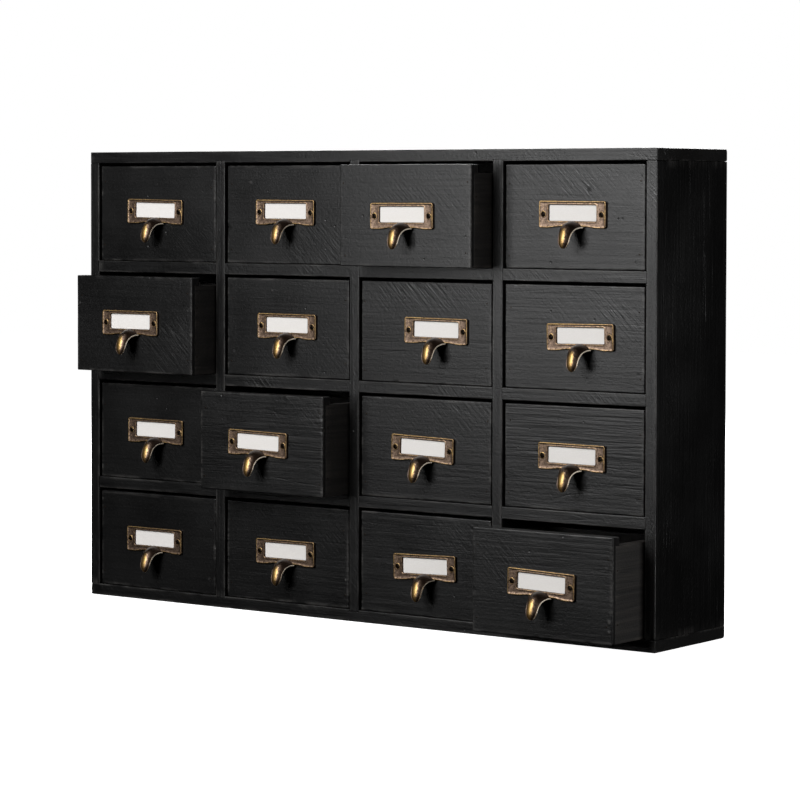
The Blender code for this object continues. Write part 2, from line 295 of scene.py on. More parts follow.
class Shader:
    """Short names for building a node material."""

    def __init__(self, name):
        self.material = bpy.data.materials.new(name)
        self.material.use_nodes = True
        self.tree = self.material.node_tree
        self.principled = self.tree.nodes["Principled BSDF"]
        self.coordinates = self.tree.nodes.new("ShaderNodeTexCoord").outputs["Object"]

    def node(self, kind, inputs=(), **settings):
        made = self.tree.nodes.new(kind)
        for key, value in settings.items():
            setattr(made, key, value)
        for key, value in dict(inputs).items():
            self.put(made.inputs[key], value)
        return made

    def put(self, socket, value):
        if isinstance(value, bpy.types.NodeSocket):
            self.tree.links.new(value, socket)
        else:
            socket.default_value = value

    def stretched(self, scale, turn=(0, 0, 0)):
        """The object's coordinates, turned and then scaled: a grain runs along the smallest scale."""
        turned = self.node("ShaderNodeMapping", {"Vector": self.coordinates, "Rotation": turn})
        scaled = self.node("ShaderNodeMapping", {"Vector": turned.outputs[0], "Scale": scale})
        return scaled.outputs[0]

    def noise(self, vector, detail=4.0, rough=0.55, distortion=0.0):
        inputs = {"Vector": vector, "Scale": 1.0, "Detail": detail}
        inputs.update({"Roughness": rough, "Distortion": distortion})
        return self.node("ShaderNodeTexNoise", inputs).outputs["Fac"]

    def spread(self, value, low, high, to_low=0.0, to_high=1.0):
        """A value taken from one range to another, and kept in it."""
        inputs = {0: value, 1: low, 2: high, 3: to_low, 4: to_high}
        return self.node("ShaderNodeMapRange", inputs, clamp=True).outputs[0]

    def math(self, operation, first, second):
        return self.node("ShaderNodeMath", {0: first, 1: second}, operation=operation).outputs[0]

    def mix(self, factor, first, second):
        made = self.node("ShaderNodeMix", data_type="RGBA")
        for key, value in ((0, factor), (6, first), (7, second)):
            self.put(made.inputs[key], value if not isinstance(value, tuple) else (*value, 1.0))
        return made.outputs[2]

    def attribute(self, name):
        return self.node("ShaderNodeAttribute", attribute_name=name).outputs["Fac"]

    def bump(self, height, distance, strength=1.0):
        inputs = {"Height": height, "Distance": distance, "Strength": strength}
        return self.node("ShaderNodeBump", inputs).outputs[0]

    def times(self, first, second):
        return self.math("MULTIPLY", first, second)

    def finish(self, **sockets):
        for key, value in sockets.items():
            self.put(self.principled.inputs[key.replace("_", " ")], value)
        return self.material


def by_axis(axis, along, across):
    """A scale for each axis: the grain runs along one of them."""
    scale = [across, across, across]
    scale[axis] = along
    return tuple(scale)


def wood_layers(s, axis):
    """The patterns of brushed and rough-sawn softwood with its grain along one axis, by name.

    The mesh says where the grain stands out (ridged), where saw marks cross it (hatched) and where there
    are knots (above 0) or chips (below 0).
    """
    layers = {name: s.attribute(name) for name in ("ridged", "hatched", "knotted", "wear_and_painted_light")}
    layers["drift"] = s.noise(s.stretched((18.0, 18.0, 18.0)), detail=2.0)
    wide, narrow = s.stretched(by_axis(axis, 6.0, 120.0)), s.stretched(by_axis(axis, 12.0, 390.0))
    layers["bands"] = s.noise(wide, detail=3.0, rough=0.5, distortion=0.7)
    layers["fibres"] = s.noise(narrow, detail=3.0, rough=0.55, distortion=0.4)
    layers["grit"] = s.noise(s.stretched((420.0, 420.0, 420.0)), detail=3.0, rough=0.6)
    tilt = (math.radians(SAW_TILT), 0.0, 0.0) if axis == Y else (0.0, math.radians(SAW_TILT), 0.0)
    saw = s.noise(s.stretched((50.0, 560.0, 560.0), tilt), detail=2.0)
    layers["saw"] = s.math("SUBTRACT", saw, 0.5)
    layers["cracks"] = cracks(s, axis, layers["ridged"])
    layers["pits"] = pits(s)
    return layers


def cracks(s, axis, ridged):
    """Thin broken lines along the grain, where a slow noise crosses its middle."""
    rings = s.noise(s.stretched(by_axis(axis, 4.5, 64.0)), detail=1.5, rough=0.45, distortion=0.9)
    from_middle = s.math("SUBTRACT", rings, 0.5)
    contour = s.node("ShaderNodeMath", {0: from_middle}, operation="ABSOLUTE").outputs[0]
    broken = s.spread(s.noise(s.stretched(by_axis(axis, 16.0, 34.0)), detail=1.0), 0.42, 0.56)
    lines = s.times(s.spread(contour, 0.0, 0.020, 1.0, 0.0), broken)
    return s.times(lines, s.spread(ridged, 0.0, 1.0, 0.15, 1.0))


def pits(s):
    """A few small round holes, in about one cell of eight."""
    cell = s.node("ShaderNodeTexVoronoi", {"Vector": s.stretched((95.0, 95.0, 95.0)), "Scale": 1.0})
    draw = s.node("ShaderNodeSeparateColor", {0: cell.outputs["Color"]}).outputs[0]
    chosen = s.spread(draw, 0.86, 0.88)
    return s.times(s.spread(cell.outputs["Distance"], 0.03, 0.10, 1.0, 0.0), chosen)


def wood_height(s, layers, rough_sawn):
    shallow = s.math("ADD", s.times(layers["ridged"], RIDGED_HEIGHT), PLAIN_HEIGHT)
    height = s.times(s.times(layers["bands"], shallow), 0.4)
    height = s.math("ADD", height, s.times(s.times(layers["fibres"], shallow), 1.9 * rough_sawn))
    height = s.math("ADD", height, s.times(layers["grit"], GRIT_HEIGHT * rough_sawn))
    height = s.math("ADD", height, s.times(s.times(layers["saw"], layers["hatched"]), SAW_HEIGHT))
    for name, depth in (("cracks", CRACK_DEPTH), ("pits", PIT_DEPTH), ("knotted", KNOT_DEPTH)):
        height = s.math("SUBTRACT", height, s.times(layers[name], depth))
    return height


def wood_colour(s, layers, hole_shade_and_knots, dark, light, worn):
    """Paint worn thin on ridges, saw marks, edges and chips, painted shade in its cracks and holes, dark
    knots.
    """
    fibres = layers["fibres"]
    tone = s.math("ADD", s.times(fibres, 0.65), s.times(layers["bands"], 0.35))
    colour = s.mix(s.spread(tone, 0.38, 0.62), dark, light)
    # Painted shade: the cracks darkened towards near black
    colour = s.mix(s.times(layers["cracks"], 0.6), colour, SHADE_AND_KNOT_BLACK)
    scrape = s.times(s.spread(layers["saw"], 0.04, 0.20), layers["hatched"])
    colour = s.mix(s.times(scrape, 0.05), colour, worn)
    ridge = s.times(s.spread(fibres, 0.52, 0.68), s.spread(layers["ridged"], 0.6, 1.6))
    colour = s.mix(s.times(ridge, 0.08), colour, worn)
    # Painted shade in the holes, and the knots' own dark
    colour = s.mix(hole_shade_and_knots, colour, SHADE_AND_KNOT_BLACK)
    rub_and_painted_light = s.times(layers["wear_and_painted_light"], s.spread(fibres, 0.36, 0.58))
    chipped = s.spread(layers["knotted"], -0.7, -0.15, 0.7, 0.0)
    return s.mix(s.math("MAXIMUM", rub_and_painted_light, chipped), colour, worn)


def painted_wood(name, axis, dark, light, worn, roughness, rough_sawn=1.0):
    """Softwood under thin paint, with its grain along one axis. rough_sawn: how deep its texture is."""
    s = Shader(name)
    layers = wood_layers(s, axis)
    # Holes (painted shade) and knots: darker and rougher
    hole_shade_and_knots = s.math("MAXIMUM", s.times(layers["pits"], 0.85), s.spread(layers["knotted"], 0.15, 0.7))
    colour = wood_colour(s, layers, hole_shade_and_knots, dark, light, worn)
    uneven = s.math("ADD", layers["drift"], s.times(layers["grit"], 0.6))
    rough = s.spread(uneven, 0.55, 1.05, roughness - 0.05, roughness + 0.05)
    rough = s.math("ADD", rough, s.times(hole_shade_and_knots, 0.35))
    height = wood_height(s, layers, rough_sawn)
    return s.finish(Base_Color=colour, Roughness=rough, Normal=s.bump(height, 1.0))


def antique_brass():
    """Cast brass with a dark brown patina worn away from the rims and tip, and painted light on the
    tongue.
    """
    s = Shader("antique_brass")
    grain = s.noise(s.stretched((1100.0, 1100.0, 1100.0)), detail=4.0, rough=0.6)
    mottle = s.noise(s.stretched((620.0, 620.0, 620.0)), detail=3.0)
    stain = s.noise(s.stretched((90.0, 90.0, 90.0)), detail=3.0)
    # Also painted light here: highlight on the tongue's left and right bead, shade on left bead, edges,
    # neck
    rub_and_painted_light = s.math("ADD", s.attribute("wear_and_painted_light"), s.spread(mottle, 0.35, 0.65, -0.16, 0.16))
    rub_and_painted_light = s.math("ADD", rub_and_painted_light, s.spread(stain, 0.35, 0.65, -0.12, 0.12))
    rub_and_painted_light = s.spread(rub_and_painted_light, 0.15, 0.95)
    patina = s.mix(s.spread(mottle, 0.36, 0.62), PATINA_DARK, PATINA_LIGHT)
    bright = s.mix(s.spread(stain, 0.40, 0.60), BRASS_DARK, BRASS_LIGHT)
    # Below zero: deep patina in hollows, and painted shade on the tongue
    patina = s.mix(s.spread(s.attribute("wear_and_painted_light"), -0.5, 0.0, 1.0, 0.0), patina, DEEP_PATINA_AND_SHADE)
    # Painted highlight: near-white brass on the right edge bead
    bright = s.mix(s.spread(s.attribute("wear_and_painted_light"), 1.1, 1.6), bright, BRASS_EDGE_HIGHLIGHT)
    colour = s.mix(rub_and_painted_light, patina, bright)
    rough = s.spread(rub_and_painted_light, 0.0, 1.0, 0.42, 0.45)
    rough = s.math("ADD", rough, s.spread(grain, 0.35, 0.65, -0.04, 0.06))
    height = s.math("ADD", s.times(mottle, 0.00010), s.times(grain, 0.00003))
    return s.finish(
        Base_Color=colour,
        Metallic=1.0,
        Roughness=rough,
        Coat_Weight=LACQUER,
        Coat_Roughness=LACQUER_ROUGHNESS,
        Normal=s.bump(height, 1.0),
    )


def dark_steel():
    s = Shader("dark_steel")
    grain = s.noise(s.stretched((1400.0, 1400.0, 1400.0)), detail=3.0)
    colour = s.mix(s.spread(grain, 0.35, 0.65), STEEL_DARK, STEEL_LIGHT)
    rough = s.spread(grain, 0.3, 0.7, 0.38, 0.60)
    return s.finish(Base_Color=colour, Metallic=1.0, Roughness=rough, Normal=s.bump(grain, 0.0001, 0.5))


def card_stock():
    """Plain off-white card with a faint fibre."""
    s = Shader("label_card")
    fibre = s.noise(s.stretched((700.0, 700.0, 1500.0)), detail=4.0)
    shade = s.noise(s.stretched((45.0, 45.0, 45.0)), detail=2.0)
    colour = s.mix(s.spread(fibre, 0.3, 0.7), CARD_DARK, CARD_LIGHT)
    colour = s.mix(s.spread(shade, 0.35, 0.75, 0.0, 0.35), colour, CARD_STAIN)
    return s.finish(Base_Color=colour, Roughness=0.75, Normal=s.bump(fibre, 0.00005, 0.5))


def floor_paint():
    s = Shader("pale_floor")
    faint = s.noise(s.stretched((3.0, 3.0, 3.0)), detail=2.0)
    colour = s.mix(faint, (0.90, 0.90, 0.90), (0.92, 0.92, 0.92))
    s.put(s.principled.inputs["Emission Color"], (1.0, 1.0, 1.0, 1.0))
    return s.finish(Base_Color=colour, Roughness=0.9, Emission_Strength=1.0)


black_wood = {
    axis: painted_wood(f"black_wood_{letter}", axis, BLACK_DARK, BLACK_LIGHT, BLACK_WORN, BLACK_ROUGHNESS)
    for axis, letter in ((X, "x"), (Y, "y"), (Z, "z"))
}
tray_wood = {
    axis: painted_wood(f"tray_wood_{letter}", axis, TRAY_DARK, TRAY_LIGHT, TRAY_WORN, TRAY_ROUGHNESS, 1.3)
    for axis, letter in ((X, "x"), (Y, "y"))
}
back_wood = painted_wood("back_board", Z, BLACK_DARK, BLACK_LIGHT, BLACK_WORN, BACK_ROUGHNESS, 0.7)
brass = antique_brass()
steel = dark_steel()
card_paper = card_stock()


# ---------------------------------------------------------------- shaping the wood


def grain_relief(points, axis, chooser, rough):
    """How far the surface stands out at each point: fine ridges along the grain and a slow swell."""
    along = points[:, axis]
    others = [i for i in range(3) if i != axis]
    across = points[:, others[0]] + 1.3 * points[:, others[1]]
    wander = 0.0012 * field(along, across, 0.030, 0.015, chooser)
    ridges = field(along, across + wander, 0.045, 0.0026, chooser)
    threads = field(along, across + wander, 0.018, 0.0014, chooser)
    swell = field(along, across, 0.060, 0.022, chooser)
    return RIDGE_RELIEF * rough * ridges + THREAD_RELIEF * rough * threads + SWELL_RELIEF * swell


def edge_wear(points, low, high, reach, chooser):
    """Up to 1 along the block's edges, in patches, and 0 inside its faces."""
    gaps = np.sort(np.minimum(points - low, high - points), axis=1)
    closeness = np.clip(1.0 - gaps[:, 1] / reach, 0.0, 1.0)
    spread = points[:, 0] + points[:, 1]
    patches = 0.55 * field(spread, points[:, 2], 0.012, 0.012, chooser)
    patches += 0.45 * field(spread, points[:, 2], 0.004, 0.004, chooser)
    return closeness * np.clip(0.45 + 1.3 * patches, 0.0, 1.0)


def dent_edges(points, low, high, count, chooser):
    """Small dents in a block's edges. Returns how each point moves and how bare it is left."""
    moves = np.zeros(points.shape)
    bare = np.zeros(len(points))
    centre = (low + high) / 2
    for _ in range(count):
        spot = chooser.uniform(low, high)
        free = chooser.integers(3)
        for axis in range(3):
            if axis != free:
                spot[axis] = low[axis] if chooser.random() < 0.5 else high[axis]
        size = chooser.uniform(0.0014, 0.0036)
        share = np.clip(1.0 - np.linalg.norm(points - spot, axis=1) / size, 0.0, 1.0)
        inward = np.sign(centre - spot)
        inward[free] = 0.0
        moves += DENT_DEPTH * share[:, None] * inward
        bare = np.maximum(bare, 0.7 * share)
    return moves, bare


def common_marks(points, axis, chooser):
    """How ridged and how hatched an ordinary board is at each point."""
    along, across = points[:, axis], points.sum(axis=1) - points[:, axis]
    ridged = 0.75 + 0.50 * field(along, across, 0.090, 0.020, chooser)
    hatched = np.clip(0.25 + 1.0 * field(along, across, 0.050, 0.030, chooser), 0.0, 1.0)
    return {"ridged": ridged, "hatched": hatched, "knotted": np.zeros(len(points))}


def front_marks(points, tag, low, high, chooser):
    """The same for a drawer front, with its knots and chips, as its own marks have it."""
    level, ridge_place, strength, hatch_place = FRONT_MARKS[tag]
    share = (points - low) / (high - low)
    x, z = share[:, 0], share[:, 2]
    near_ridges = np.exp(-(((z - ridge_place) / 0.42) ** 2))
    ridged = level * (0.30 + 0.70 * near_ridges) * (1.0 + 0.5 * field(x, z, 0.30, 0.12, chooser))
    away = ((x - hatch_place[0]) / 0.42) ** 2 + ((z - hatch_place[1]) / 0.32) ** 2
    hatched = strength * np.exp(-away) * (1.0 + 0.7 * field(x, z, 0.15, 0.15, chooser))
    knotted = np.zeros(len(points))
    for right, up, radius, depth in FRONT_SPOTS.get(tag, ()):
        gap = np.hypot(points[:, 0] - low[0] - right / 1000, points[:, 2] - low[2] - up / 1000) * 1000
        knotted += depth * np.clip(1.4 * (1.0 - gap / radius), 0.0, 1.0)
    return {"ridged": ridged, "hatched": np.clip(hatched, 0.0, 1.5), "knotted": knotted}


def wooden_mesh(
    name, low, high, axis, seed, edge, cells, notches=(), dents=0, rough=1.0, reach=BOARD_REACH, front=""
):
    """A block of wood with its grain along one axis.

    cells: the mesh's cell size along the grain and across it. reach: the width of the worn band along its
    edges. front: the tag of a drawer front, which has its own marks.
    """
    low, high = np.array(low), np.array(high)
    chooser = np.random.default_rng(seed)
    sizes = [cells[1]] * 3
    sizes[axis] = cells[0]
    points, quads = grid_block(low, high, edge, sizes, [tuple(map(tuple, notch)) for notch in notches])
    rounded, out = round_edges(points, low, high, edge)
    relief = grain_relief(points, axis, chooser, rough)
    moves, bare = dent_edges(points, low, high, dents, chooser)
    if front:
        marks = front_marks(points, front, low, high, chooser)
    else:
        marks = common_marks(points, axis, chooser)
    marks["wear_and_painted_light"] = np.maximum(edge_wear(points, low, high, reach, chooser), bare)
    marks["knotted"] -= END_GRAIN * (np.abs(out[:, axis]) > 0.9)
    shaped = rounded + out * relief[:, None] + moves
    mesh = bpy.data.meshes.new(name)
    mesh.from_pydata(shaped.tolist(), [], quads.tolist())
    for mark, values in marks.items():
        mesh.attributes.new(mark, "FLOAT", "POINT").data.foreach_set("value", values)
    return mesh


def finish_piece(obj, body, materials):
    obj.data.materials.clear()
    for material in materials:
        obj.data.materials.append(material)
    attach(obj, body)
    return obj


# ---------------------------------------------------------------- case


def grown(low, high, by):
    """A box made larger by so much on every side."""
    by = Vector((by, by, by))
    return low - by, high + by


def case_board(node, axis, seed, low_shift=(0, 0, 0), high_shift=(0, 0, 0), dents=0, notches=()):
    low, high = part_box(node)
    low, high = low + Vector(low_shift), high + Vector(high_shift)
    mesh = wooden_mesh(node, low, high, axis, seed, BOARD_EDGE, BOARD_CELLS, notches, dents)
    obj = smooth_object(f"case_{node}", mesh, WOOD_SHARP)
    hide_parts(node)
    return finish_piece(obj, CASE_BODY, [black_wood[axis]])


def make_case():
    dividers = [f"divider_{i}" for i in range(1, COLUMNS)]
    shelves = [f"shelf_{i}" for i in range(1, ROWS)]
    past = Vector((0, CUT_PAST, 0))
    back_low, back_high = grown(*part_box("back_panel"), JOINT_PLAY)
    rabbet = (back_low, back_high + past)
    housings = []
    for node in dividers + shelves:
        low, high = grown(*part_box(node), JOINT_PLAY)
        housings.append((low - past, high))
    case_board("top_board", X, 11, dents=7, notches=housings[:3] + [rabbet])
    case_board("bottom_board", X, 12, dents=7, notches=housings[:3] + [rabbet])
    overlap = Vector((0, 0, SEAM_OVERLAP))
    for node, seed in (("left_side", 13), ("right_side", 14)):
        case_board(node, Z, seed, -overlap, overlap, 5, housings[3:] + [rabbet])
    for index, node in enumerate(dividers):
        case_board(node, Z, 21 + index, (0, -DIVIDER_PROUD, 0), dents=2)
    for index, node in enumerate(shelves):
        case_board(node, X, 31 + index, (0, SHELF_SETBACK, 0), dents=4)
    low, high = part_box("back_panel")
    mesh = wooden_mesh("back_panel", low, high, Z, 41, BACK_EDGE, TRAY_CELLS)
    panel = smooth_object("case_back_panel", mesh, WOOD_SHARP)
    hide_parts("back_panel")
    finish_piece(panel, CASE_BODY, [back_wood])


# ---------------------------------------------------------------- drawers


def front_rabbets(low, high, tray_high):
    """The rabbets at the back of a front board's ends, where the tray's walls lap in."""
    bottom, top = low.z - CUT_PAST, tray_high.z + JOINT_PLAY
    front, back = low.y + FRONT_TONGUE, high.y + CUT_PAST
    left = ((low.x - CUT_PAST, front, bottom), (low.x + TRAY_WALL, back, top))
    right = ((high.x - TRAY_WALL, front, bottom), (high.x + CUT_PAST, back, top))
    return [left, right]


# How each front is marked: how strongly its grain stands out and at which share of its height, how
# strongly saw marks cross it and at which share of its width and height
FRONT_MARKS = {
    "r1c1": (0.20, 0.5, 0.6, (0.85, 0.25)),
    "r1c2": (0.25, 0.8, 1.0, (0.85, 0.20)),
    "r1c3": (0.50, 0.4, 0.6, (0.60, 0.60)),
    "r1c4": (0.55, 0.5, 1.1, (0.45, 0.85)),
    "r2c1": (0.35, 0.7, 1.0, (0.80, 0.30)),
    "r2c2": (0.45, 0.9, 0.6, (0.70, 0.25)),
    "r2c3": (0.55, 0.5, 1.1, (0.50, 0.90)),
    "r2c4": (0.60, 0.8, 0.9, (0.75, 0.75)),
    "r3c1": (0.12, 0.5, 0.4, (0.70, 0.20)),
    "r3c2": (1.70, 0.6, 0.7, (0.90, 0.90)),
    "r3c3": (0.45, 0.3, 0.6, (0.70, 0.80)),
    "r3c4": (1.60, 0.9, 0.4, (0.30, 0.30)),
    "r4c1": (0.12, 0.5, 0.2, (0.50, 0.50)),
    "r4c2": (0.80, 0.3, 0.4, (0.80, 0.70)),
    "r4c3": (0.60, 0.5, 0.5, (0.80, 0.80)),
    "r4c4": (0.45, 0.9, 0.6, (0.20, 0.70)),
}

# Knots and chips on each front: millimetres right and up from its lower left corner, radius in
# millimetres, and depth (a chip, which shows bare wood, has a negative depth)
FRONT_SPOTS = {
    "r1c2": ((26, 70, 2.2, -0.8), (110, 17, 1.6, 1.0)),
    "r1c4": (
        (81, 64, 3.0, 0.9),
        (131, 75, 1.8, 0.7),
        (27, 42, 1.6, 0.8),
        (113, 41, 1.6, 0.9),
        (125, 6, 1.5, 0.7),
    ),
    "r2c1": ((3, 60, 1.8, -0.7), (129, 56, 1.5, -0.6)),
    "r2c2": ((50, 74, 1.8, -0.6), (103, 10, 1.8, 0.9), (132, 18, 1.6, 0.9), (8, 21, 1.8, 0.7)),
    "r2c3": ((42, 77, 2.2, 1.0), (128, 66, 1.5, -0.5)),
    "r2c4": ((128, 15, 1.8, 1.0), (90, 70, 1.6, 0.5)),
    "r3c3": ((100, 78, 1.9, 0.9), (103, 56, 1.5, 0.6), (110, 29, 1.7, 0.7)),
    "r3c4": ((128, 12, 1.8, 0.9),),
    "r4c1": ((127, 14, 3.0, 0.5), (48, 9, 1.6, -0.4)),
    "r4c2": ((131, 24, 1.6, -0.9),),
    "r4c4": ((128, 60, 1.8, -0.7), (131, 18, 2.2, -1.0), (131, 10, 1.6, -0.8)),
}


def make_front(tag, seed):
    node = f"drawer_front_{tag}"
    low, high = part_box(node)
    notches = front_rabbets(low, high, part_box(f"drawer_tray_{tag}")[1])
    rough = 0.6 + 0.3 * FRONT_MARKS[tag][0]
    mesh = wooden_mesh(
        node, low, high, X, seed, FRONT_EDGE, FRONT_CELLS, notches, 5, rough, FRONT_REACH, front=tag
    )
    obj = smooth_object(f"front_{tag}", mesh, WOOD_SHARP)
    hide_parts(node)
    finish_piece(obj, f"drawer_{tag}", [black_wood[X]])


def make_tray(tag, seed):
    """Two walls, a back and a floor as separate boards in one piece."""
    node = f"drawer_tray_{tag}"
    low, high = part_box(node)
    front_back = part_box(f"drawer_front_{tag}")[1].y
    inner_low, inner_high = low.x + TRAY_WALL, high.x - TRAY_WALL
    lapped = low.y - LAP_PLAY
    boards = [
        ((low.x, lapped, low.z), (inner_low, high.y, high.z), Y),
        ((inner_high, lapped, low.z), (high.x, high.y, high.z), Y),
        ((inner_low, high.y - TRAY_WALL, low.z), (inner_high, high.y, high.z), X),
        ((inner_low, front_back, low.z), (inner_high, high.y - TRAY_WALL, low.z + TRAY_FLOOR), X),
    ]
    bm = bmesh.new()
    slots = []
    for index, (start, end, axis) in enumerate(boards):
        mesh = wooden_mesh("board", start, end, axis, seed + index, TRAY_EDGE, TRAY_CELLS, rough=1.5)
        slots.extend([0 if axis == Y else 1] * len(mesh.polygons))
        bm.from_mesh(mesh)
        bpy.data.meshes.remove(mesh)
    obj = mesh_object(f"tray_{tag}", bm, WOOD_SHARP)
    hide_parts(node)
    finish_piece(obj, f"drawer_{tag}", [tray_wood[Y], tray_wood[X]])
    obj.data.polygons.foreach_set("material_index", slots)


# ---------------------------------------------------------------- label holder and pull
# Built round the middle of the plate's back, facing -Y, and shared by the sixteen drawers.


def rounded_loop(width, height, radius):
    """Points round a rectangle with round corners, from the right of its lower edge, anticlockwise."""
    half_x, half_z = width / 2, height / 2
    long_steps, short_steps, corner_steps = 36, 10, 6
    corners = (
        (half_x - radius, -half_z + radius, -90),
        (half_x - radius, half_z - radius, 0),
        (-half_x + radius, half_z - radius, 90),
        (-half_x + radius, -half_z + radius, 180),
    )
    points = []
    for index, (x, z, start) in enumerate(corners):
        for step in range(corner_steps + 1):
            angle = math.radians(start + 90.0 * step / corner_steps)
            points.append((x + radius * math.cos(angle), z + radius * math.sin(angle)))
        next_x, next_z, next_start = corners[(index + 1) % 4]
        ahead = math.radians(next_start)
        end = (next_x + radius * math.cos(ahead), next_z + radius * math.sin(ahead))
        begin = points[-1]
        steps = short_steps if index % 2 == 0 else long_steps
        for step in range(1, steps):
            share = step / steps
            x_between = begin[0] + (end[0] - begin[0]) * share
            points.append((x_between, begin[1] + (end[1] - begin[1]) * share))
    return points


def waisted(points):
    """The plate's outline with its lower edge rising towards the neck of the pull."""
    shaped = []
    for x, z in points:
        share = min(1.0, max(0.0, (abs(x) - WAIST_HALF_WIDTH) / WAIST_FADE))
        lift = PLATE_WAIST * (1.0 - share * share * (3 - 2 * share))
        shaped.append((x, z + lift if z < -PLATE_HEIGHT * 0.3 else z))
    return shaped


def plate_rings():
    """The plate's cross-section over its rim, field and lip: loops, how far forward, and how rubbed."""
    t, f = PLATE_THICKNESS, FIELD_LEVEL
    from_outside = [
        (0.0, 0.0, -0.6),
        (0.0, t * 0.55, -0.5),
        (0.00012, t * 0.80, -0.3),
        (0.00038, t * 0.96, 0.46),
        (0.00075, t, 0.62),
        (0.00115, t * 0.96, 0.25),
        (0.00165, f * 1.04, 0.0),
        (0.00210, f, 0.0),
    ]
    from_window = [
        (0.00150, f, 0.0),
        (0.00120, f * 1.02, 0.05),
        (0.00085, f * 1.06, 0.20),
        (0.00050, f * 1.08, 0.35),
        (0.00018, f * 1.02, 0.10),
        (0.0, f * 0.90, -0.2),
        (-0.00015, f * 0.70, -0.6),
        (-0.00025, f * 0.35, -0.6),
        (-0.00025, 0.0, -0.6),
    ]
    rings = []
    for inset, level, rub_and_light in from_outside:
        corner = max(0.0004, PLATE_CORNER - inset)
        loop = rounded_loop(PLATE_WIDTH - 2 * inset, PLATE_HEIGHT - 2 * inset, corner)
        rings.append((waisted(loop), level, rub_and_light))
    for inset, level, rub_and_light in from_window:
        corner = WINDOW_CORNER + inset
        loop = rounded_loop(WINDOW_WIDTH + 2 * inset, WINDOW_HEIGHT + 2 * inset, corner)
        rings.append(([(x, z + WINDOW_RISE) for x, z in loop], level, rub_and_light))
    return rings


def add_rings(bm, wear_and_painted_light, rings, closed):
    """Joins rings of equally many points with quads. Each ring: its points, and values of wearing and
    painted light.
    """
    made = []
    for points, rub_and_light in rings:
        ring = []
        for point in points:
            vertex = bm.verts.new(point)
            vertex[wear_and_painted_light] = rub_and_light[len(ring)] if isinstance(rub_and_light, list) else rub_and_light
            ring.append(vertex)
        made.append(ring)
    pairs = list(zip(made, made[1:]))
    if closed:
        pairs.append((made[-1], made[0]))
    for one, other in pairs:
        for index in range(len(one)):
            following = (index + 1) % len(one)
            bm.faces.new((one[index], one[following], other[following], other[index]))
    return made


def add_capped(bm, wear_and_painted_light, rings):
    made = add_rings(bm, wear_and_painted_light, rings, closed=False)
    bm.faces.new(made[0])
    bm.faces.new(list(reversed(made[-1])))


def turned_rings(centre_x, profile, sides=24):
    """Rings of a turned profile, (radius, how far forward, wear), about an axis along Y."""
    rings = []
    for radius, level, rub_and_light in profile:
        angles = [2 * math.pi * step / sides for step in range(sides)]
        points = [(centre_x + radius * math.cos(a), -level, radius * math.sin(a)) for a in angles]
        rings.append((points, rub_and_light))
    return rings


def add_screw_seats(bm, wear_and_painted_light):
    """A raised ring round each screw hole, and the hole's dark wall."""
    f = FIELD_LEVEL
    profile = [
        (0.00290, f * 0.80, 0.1),
        (0.00280, f * 1.02, 0.2),
        (0.00258, f * 1.11, 0.6),
        (0.00238, f * 1.12, 0.7),
        (0.00220, f * 1.02, 0.2),
        (0.00208, f * 0.75, -0.5),
        (0.00205, f * 0.30, -0.6),
    ]
    for side in (-1, 1):
        add_rings(bm, wear_and_painted_light, turned_rings(side * SCREW_X, profile), closed=True)


def tongue_width(share):
    """Half the tongue's width along its length: a wide neck that narrows to a round tip."""
    width = TONGUE_HALF_WIDTH + (NECK_HALF_WIDTH - TONGUE_HALF_WIDTH) * math.exp(-share / NECK_FLARE)
    if share > TIP_SHARE:
        into_tip = (share - TIP_SHARE) / (1.0 - TIP_SHARE)
        width *= math.sqrt(max(0.0, 1.0 - into_tip**2))
    return width


def tongue_centre(angle):
    """A point along the tongue's middle: it leaves the plate straight ahead and turns down to the tip."""
    ahead = math.copysign(abs(math.sin(angle)) ** 0.82, math.sin(angle))
    return Vector((0, NECK_Y - TONGUE_REACH * ahead, NECK_Z - TONGUE_DROP * (1.0 - math.cos(angle))))


def tongue_rub_and_painted_light(across, share):
    """Outer face: worn bright, plus painted highlight, left of middle; patina plus painted shade at edges
    and neck.
    """
    neck = math.exp(-((share / 0.36) ** 2))
    # Painted highlight on the lit left side, down the tongue where fingers also brighten it
    polish_and_highlight = math.exp(-(((across + 0.26) / 0.66) ** 2)) * min(1.0, max(0.0, share - 0.24) / 0.32)
    face = min(1.0, 1.9 * polish_and_highlight) - 0.5 * (1.0 - polish_and_highlight)
    # Dark edges and neck: partly patina, partly painted shade
    rim = across**8
    return face * (1.0 - rim) - 0.5 * rim - 0.2 * neck


def tongue_bead(side, rim, outward, radius):
    """Points round one edge: down from the outer face on the right, and up to it on the left."""
    steps = 5
    points = []
    for step in range(1, steps):
        turn = math.pi * (step / steps if side > 0 else 1.0 - step / steps)
        around = outward * math.cos(turn) + Vector((side * math.sin(turn), 0, 0))
        points.append(rim + around * radius)
    return points


